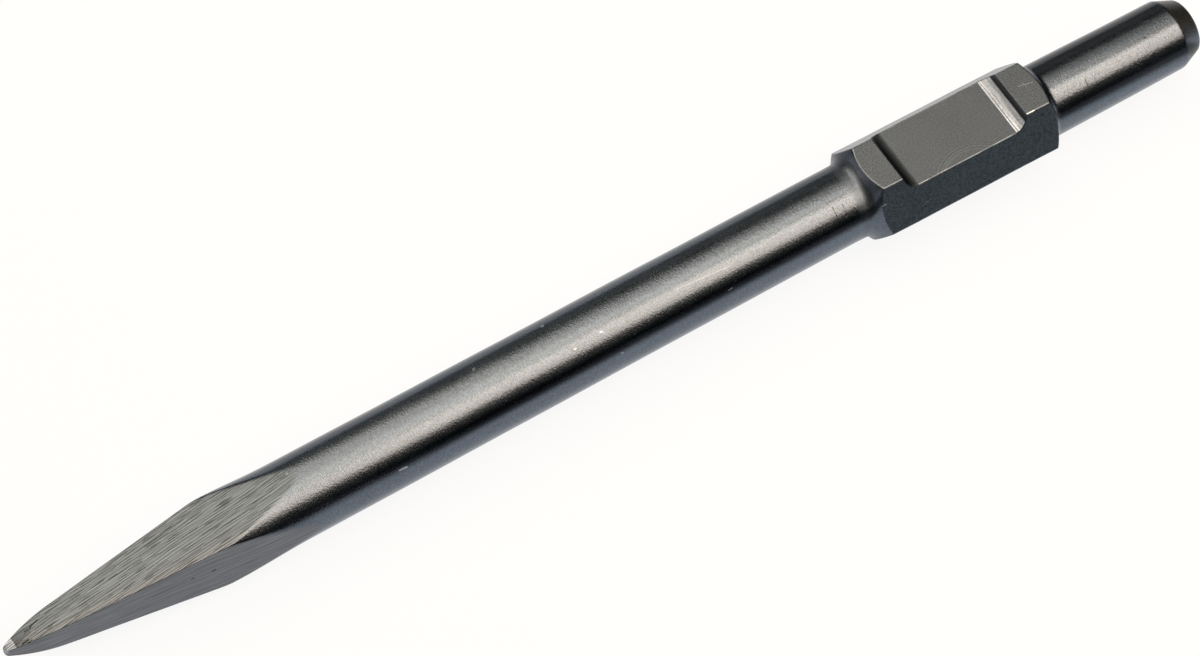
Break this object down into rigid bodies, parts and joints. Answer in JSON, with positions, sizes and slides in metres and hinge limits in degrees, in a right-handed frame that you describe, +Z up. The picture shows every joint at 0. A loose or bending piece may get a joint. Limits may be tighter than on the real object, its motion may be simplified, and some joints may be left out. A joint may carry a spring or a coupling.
{
  "type": "pointed chisel",
  "caption": "Forged steel pointed chisel: square tapering point, round body, hexagonal shank with a retainer notch across its upper face, and a chamfered round end that is struck.",
  "frame": {"origin": "middle of the bounding box, on the plane that the chisel rests on", "axes": "+X from the point to the struck end, +Z up, with the notched face of the hexagon upwards"},
  "size_m": [0.41, 0.0328, 0.0293],
  "materials": {
    "forged_steel": "dark, finely grained forged and turned steel, with lengthwise grinding marks on the point"
  },
  "bodies": {
    "root": {"pointed_chisel": "forged_steel"}
  },
  "joints": []
}
